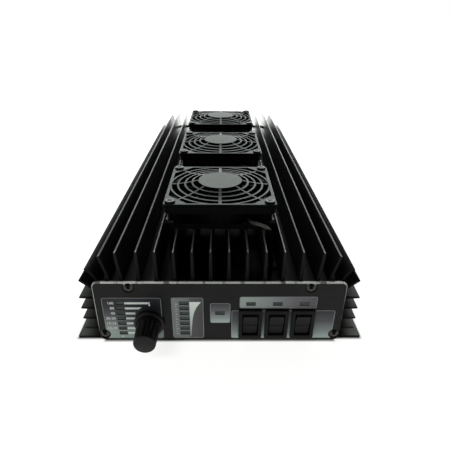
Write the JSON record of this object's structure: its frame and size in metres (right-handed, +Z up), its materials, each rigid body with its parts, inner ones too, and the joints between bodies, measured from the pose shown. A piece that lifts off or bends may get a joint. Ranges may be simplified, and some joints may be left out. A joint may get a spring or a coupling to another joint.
{
  "type": "hf linear amplifier",
  "caption": "Radio frequency power amplifier: long finned heatsink case with guarded cooling fans on top, a control panel with band knob, rocker switches and level windows.",
  "frame": {"origin": "middle of the base, on the face that it rests on", "axes": "+Z up, +Y from the control panel to the rear connectors, +X to the right of someone who faces the control panel"},
  "size_m": [0.2074, 0.4886, 0.0966],
  "materials": {
    "black_anodised": "black anodised, satin",
    "panel_face": "satin dark coat with bare bright edges",
    "bronze_screw": "dark bronze plating",
    "black_steel": "black oxide",
    "zinc_steel": "zinc plated",
    "knob_black": "matte moulding with soft sheen",
    "bright_steel": "turned",
    "nickel_brass": "nickel plated",
    "brass": "plain",
    "white_insulator": "moulded",
    "phenolic": "moulded phenolic",
    "switch_body": "moulded, semi gloss",
    "rocker_black": "moulded, semi gloss",
    "fan_black": "moulded",
    "guard_black": "moulded, semi gloss",
    "lead_sleeve": "shiny sleeve",
    "copper_winding": "enamelled copper",
    "grommet_rubber": "soft",
    "board_green": "solder mask",
    "led_window": "diffuse lens, unlit",
    "ceramic_white": "metal flange under a pale cap",
    "ferrite": "dark ferrite",
    "relay_case": "moulded",
    "fuse_plastic": "moulded",
    "fuse_amber": "tinted clear"
  },
  "bodies": {
    "root": {"amplifier_board": "board_green", "band_leds": "led_window", "band_switch_body": "phenolic", "band_switch_nut": "zinc_steel", "blade_fuses": "fuse_amber", "board_screws": "zinc_steel", "board_spacers": "zinc_steel", "bottom_cover": "black_anodised", "bottom_cover_screws": "black_steel", "capacitors": "relay_case", "display_board": "board_green", "display_standoffs": "zinc_steel", "fan_frame_front": "fan_black", "fan_frame_middle": "fan_black", "fan_frame_rear": "fan_black", "fan_guard_front": "guard_black", "fan_guard_middle": "guard_black", "fan_guard_rear": "guard_black", "fan_lead_front": "lead_sleeve", "fan_lead_grommets": "grommet_rubber", "fan_lead_middle": "lead_sleeve", "fan_lead_plugs": "white_insulator", "fan_lead_rear": "lead_sleeve", "fan_nuts": "zinc_steel", "fan_screws": "black_steel", "fan_stators": "copper_winding", "filter_board": "board_green", "filter_toroids": "ferrite", "front_panel": "panel_face", "fuse_holders": "fuse_plastic", "heatsink": "black_anodised", "input_transformer": "copper_winding", "output_transformer": "ferrite", "panel_screws": "bronze_screw", "power_leds": "led_window", "rear_contacts": "brass", "rear_insulators": "white_insulator", "rear_panel": "panel_face", "relay_jack": "nickel_brass", "relays": "relay_case", "rf_input_socket": "nickel_brass", "rf_output_socket": "nickel_brass", "rf_transistors": "ceramic_white", "rocker_housing_left": "switch_body", "rocker_housing_middle": "switch_body", "rocker_housing_right": "switch_body", "socket_screws": "zinc_steel", "status_leds": "led_window", "supply_board": "board_green", "switch_terminals": "brass"},
    "band_knob": {"band_knob": "knob_black", "knob_set_screw": "zinc_steel", "band_switch_shaft": "bright_steel", "band_switch_rotor": "phenolic"},
    "rocker_left": {"rocker_left": "rocker_black"},
    "rocker_middle": {"rocker_middle": "rocker_black"},
    "rocker_right": {"rocker_right": "rocker_black"},
    "fan_rotor_front": {"fan_rotor_front": "fan_black"},
    "fan_rotor_middle": {"fan_rotor_middle": "fan_black"},
    "fan_rotor_rear": {"fan_rotor_rear": "fan_black"}
  },
  "joints": [
    {"name": "band_knob_turn", "type": "hinge", "parent": "root", "child": "band_knob", "pos_m": [-0.0502, -0.2245, 0.0166], "axis": [0, 1, 0], "range_deg": [-120, 60]},
    {"name": "rocker_left_tilt", "type": "hinge", "parent": "root", "child": "rocker_left", "pos_m": [0.0217, -0.2229, 0.0159], "axis": [1, 0, 0], "range_deg": [-16, 0]},
    {"name": "rocker_middle_tilt", "type": "hinge", "parent": "root", "child": "rocker_middle", "pos_m": [0.0404, -0.2229, 0.0159], "axis": [1, 0, 0], "range_deg": [-16, 0]},
    {"name": "rocker_right_tilt", "type": "hinge", "parent": "root", "child": "rocker_right", "pos_m": [0.0591, -0.2229, 0.0159], "axis": [1, 0, 0], "range_deg": [-16, 0]},
    {"name": "fan_front_spin", "type": "hinge", "parent": "root", "child": "fan_rotor_front", "pos_m": [0, -0.1496, 0.0815], "axis": [0, 0, 1], "continuous": true},
    {"name": "fan_middle_spin", "type": "hinge", "parent": "root", "child": "fan_rotor_middle", "pos_m": [0, -0.0294, 0.0815], "axis": [0, 0, 1], "continuous": true},
    {"name": "fan_rear_spin", "type": "hinge", "parent": "root", "child": "fan_rotor_rear", "pos_m": [0, 0.0908, 0.0815], "axis": [0, 0, 1], "continuous": true}
  ]
}
